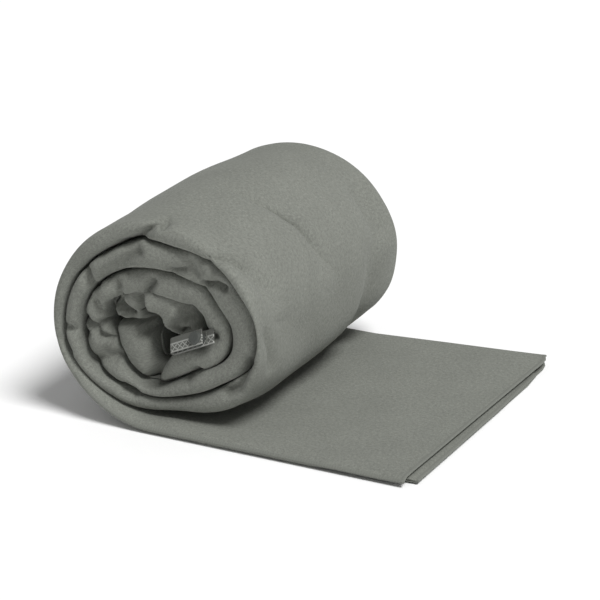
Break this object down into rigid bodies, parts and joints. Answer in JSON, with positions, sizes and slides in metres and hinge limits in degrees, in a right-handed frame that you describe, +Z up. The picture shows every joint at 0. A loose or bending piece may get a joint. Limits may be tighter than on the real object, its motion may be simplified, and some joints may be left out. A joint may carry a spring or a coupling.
{
  "type": "quick dry towel",
  "caption": "Microfibre towel folded lengthwise in three and rolled up, its loose end lying flat, with a press-stud hanging loop tucked into the roll.",
  "frame": {"origin": "middle of the footprint, on the surface the towel lies on", "axes": "+X towards the loose end, +Y along the axis of the roll away from the end that holds the hanging loop, +Z up"},
  "size_m": [0.2206, 0.2, 0.124],
  "materials": {
    "microfibre": "short suede nap, matt",
    "hem_thread": "overlocked polyester thread, matt",
    "woven_tape": "woven polyester tape, matt",
    "press_stud": "moulded acetal, satin"
  },
  "bodies": {
    "rolled_towel": {"rolled_cloth": "microfibre", "core_end_hem": "hem_thread"},
    "loose_end": {"loose_end": "microfibre", "tail_end_hem": "hem_thread", "near_long_hem": "hem_thread", "inner_long_hem": "hem_thread"},
    "hanging_loop": {"loop_tape": "woven_tape", "loop_bartack": "hem_thread", "snap_stud": "press_stud", "snap_post": "press_stud"},
    "loop_flap": {"loop_flap": "woven_tape", "snap_cap": "press_stud", "snap_socket": "press_stud"}
  },
  "joints": [
    {"name": "loose_end_lift", "type": "hinge", "parent": "rolled_towel", "child": "loose_end", "pos_m": [0.00807, 0, 0.0054], "axis": [0, -1, 0], "range_deg": [0, 75]},
    {"name": "loop_swing", "type": "hinge", "parent": "rolled_towel", "child": "hanging_loop", "pos_m": [-0.01693, -0.089, 0.0605], "axis": [-0.3462, 0.5736, 0.7424], "range_deg": [0, 60]},
    {"name": "snap_open", "type": "hinge", "parent": "hanging_loop", "child": "loop_flap", "pos_m": [-0.03811, -0.0926, 0.05341], "axis": [0.3462, -0.5736, -0.7424], "range_deg": [0, 50]}
  ]
}
